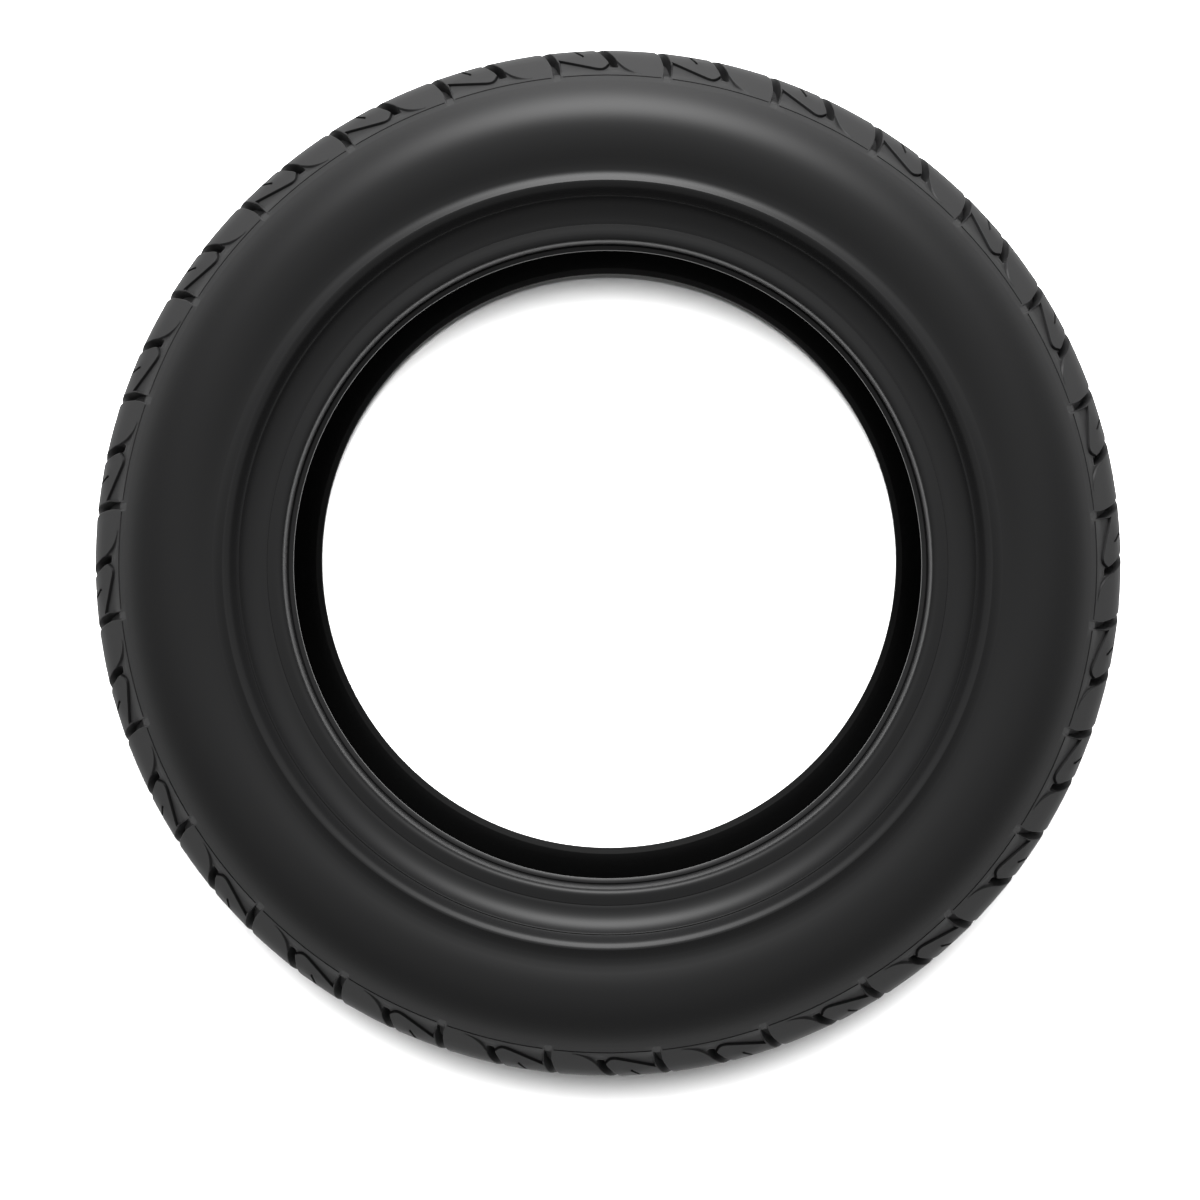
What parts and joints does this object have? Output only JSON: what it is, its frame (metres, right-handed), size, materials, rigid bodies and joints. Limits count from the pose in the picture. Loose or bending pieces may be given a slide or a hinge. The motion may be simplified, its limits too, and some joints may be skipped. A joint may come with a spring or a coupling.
{
  "type": "golf cart tyre",
  "caption": "Low-profile radial tyre for a golf cart wheel, with a grooved road tread, rim protectors and tapered beads, lying on its sidewall.",
  "frame": {"origin": "centre of the tyre, which is the centre of the wheel it goes on", "axes": "+Z along the axis that the tyre rolls about, out of the sidewall that faces up while the tyre lies flat; X and Y across the tyre"},
  "size_m": [0.571, 0.5708, 0.235],
  "materials": {
    "tyre": "satin"
  },
  "bodies": {
    "root": {"tyre": "tyre"}
  },
  "joints": []
}
